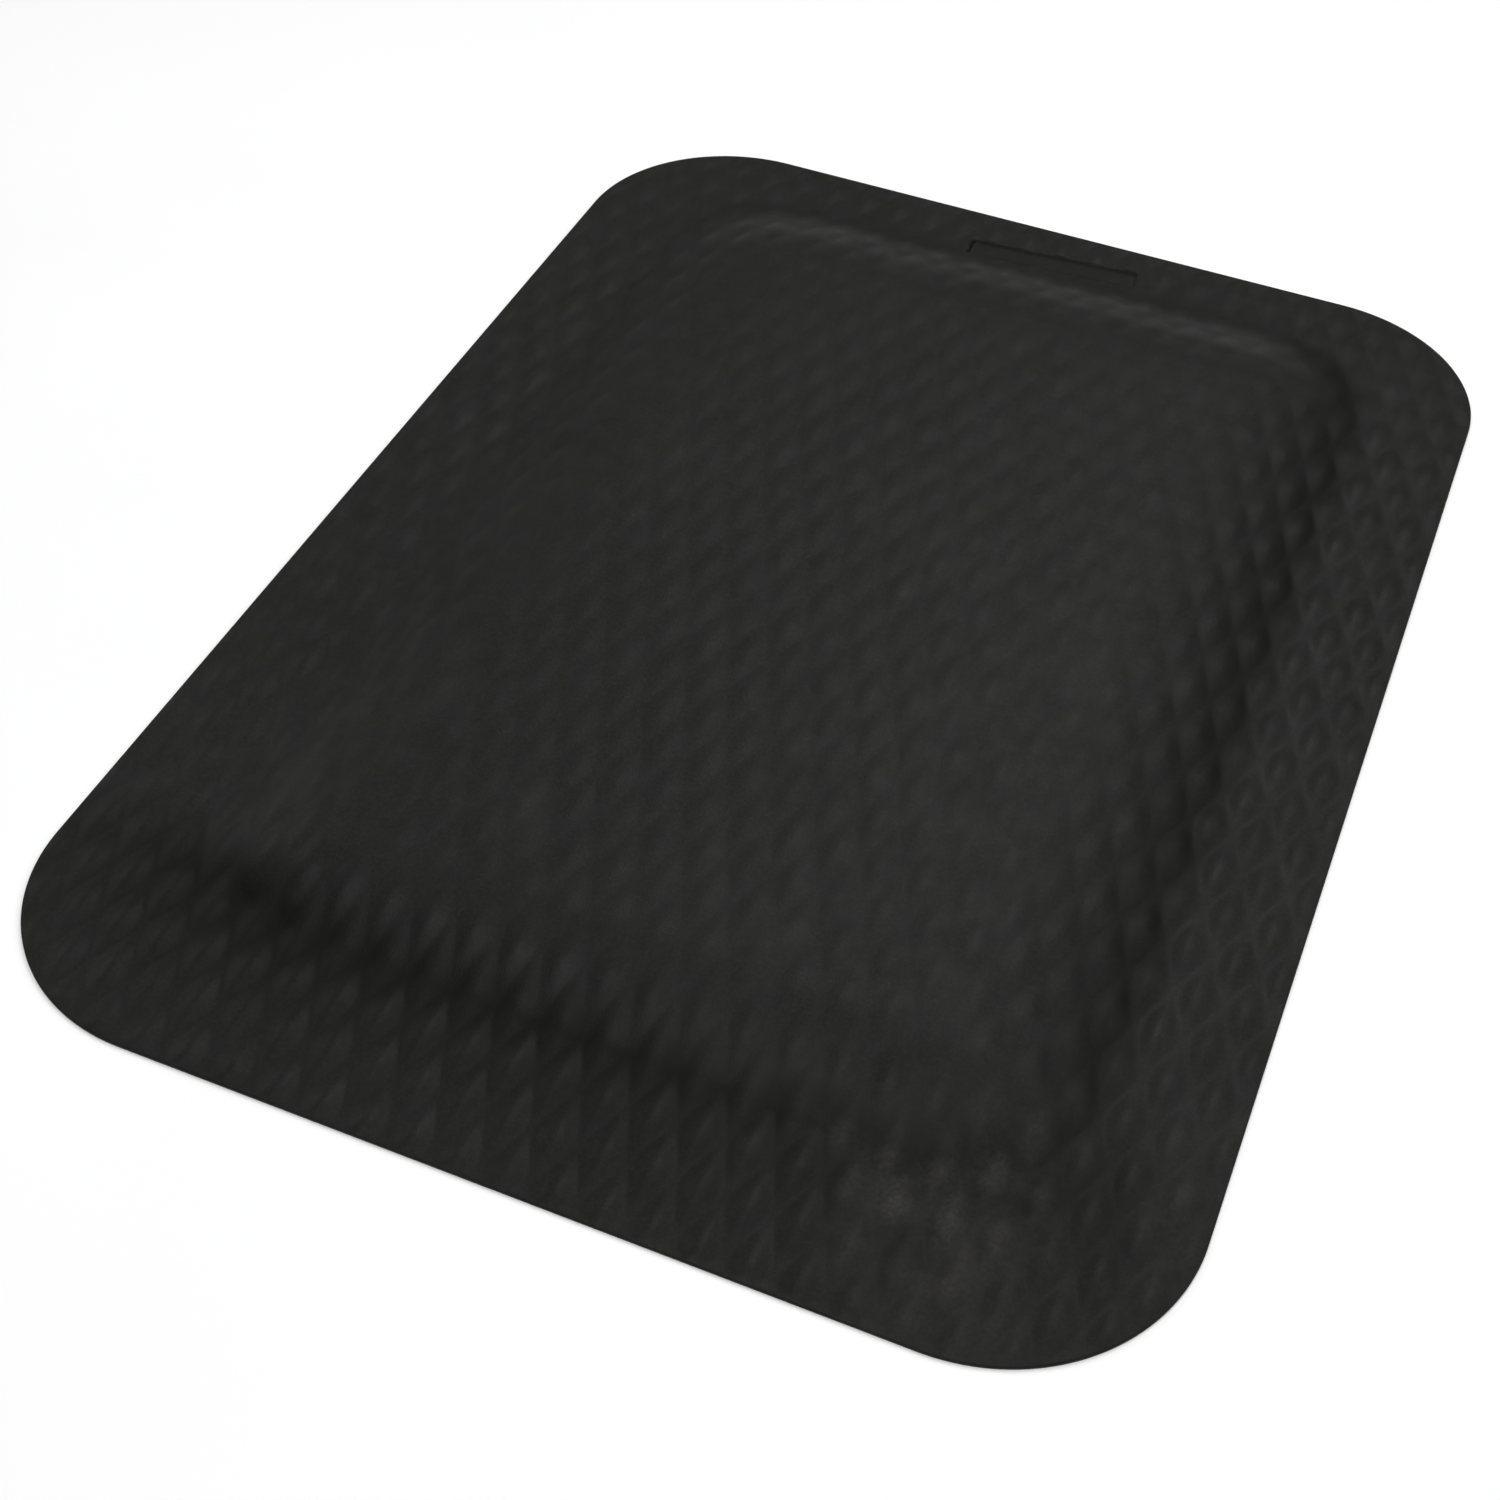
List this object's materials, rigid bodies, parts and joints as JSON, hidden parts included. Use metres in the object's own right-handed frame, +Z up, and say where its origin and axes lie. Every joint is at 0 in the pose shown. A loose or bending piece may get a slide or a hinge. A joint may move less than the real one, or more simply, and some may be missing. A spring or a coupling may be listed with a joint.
{
  "type": "anti-fatigue mat",
  "caption": "Rectangular standing mat with rounded corners, a low domed foam cushion under a moulded diamond-pattern rubber sheet, and a thin bevelled border.",
  "frame": {"origin": "on the floor, under the middle of the mat's outline", "axes": "+X to the right of a person who stands at the wide border and faces the label recess, +Y along the length towards the label recess, +Z up"},
  "size_m": [0.559, 0.787, 0.022],
  "materials": {
    "surface_rubber": "satin",
    "closed_cell_foam": "matte",
    "backing_rubber": "matte"
  },
  "bodies": {
    "root": {"surface_sheet": "surface_rubber", "cushion_core": "closed_cell_foam", "backing_sheet": "backing_rubber"}
  },
  "joints": []
}
